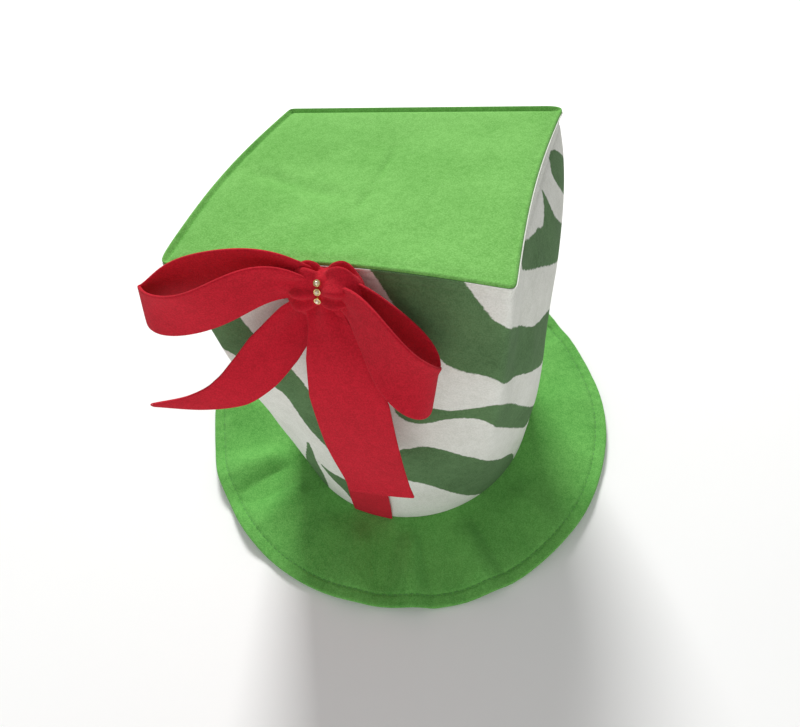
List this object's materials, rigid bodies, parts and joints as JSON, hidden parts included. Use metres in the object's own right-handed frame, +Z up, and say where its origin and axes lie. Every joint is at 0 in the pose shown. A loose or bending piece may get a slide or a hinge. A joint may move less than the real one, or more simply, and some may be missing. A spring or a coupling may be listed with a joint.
{
  "type": "square-topped foam top hat with a felt bow",
  "caption": "Soft felt-over-foam top hat with a round waved brim, a square drooping top, striped sides and a felt bow with a front band.",
  "frame": {"origin": "middle of the brim, on the plane that the brim rests on", "axes": "+Z up through the crown, -Y towards the front, where the bow and the band are"},
  "size_m": [0.316, 0.3158, 0.2555],
  "materials": {
    "brim_felt": "matt green felt over foam",
    "striped_felt": "matt off-white felt with wavy dark green stripes",
    "top_felt": "matt bright green felt",
    "red_felt": "matt red felt",
    "stone_cup": "pale gold cup with a clear faceted stone"
  },
  "bodies": {
    "root": {"brim": "brim_felt", "crown_side": "striped_felt", "crown_top": "top_felt", "front_band": "red_felt", "bow_knot": "red_felt", "bow_loop_left": "red_felt", "bow_loop_right": "red_felt", "bow_tail_left": "red_felt", "bow_tail_front": "red_felt", "rhinestone_1": "stone_cup", "rhinestone_2": "stone_cup", "rhinestone_3": "stone_cup"}
  },
  "joints": []
}
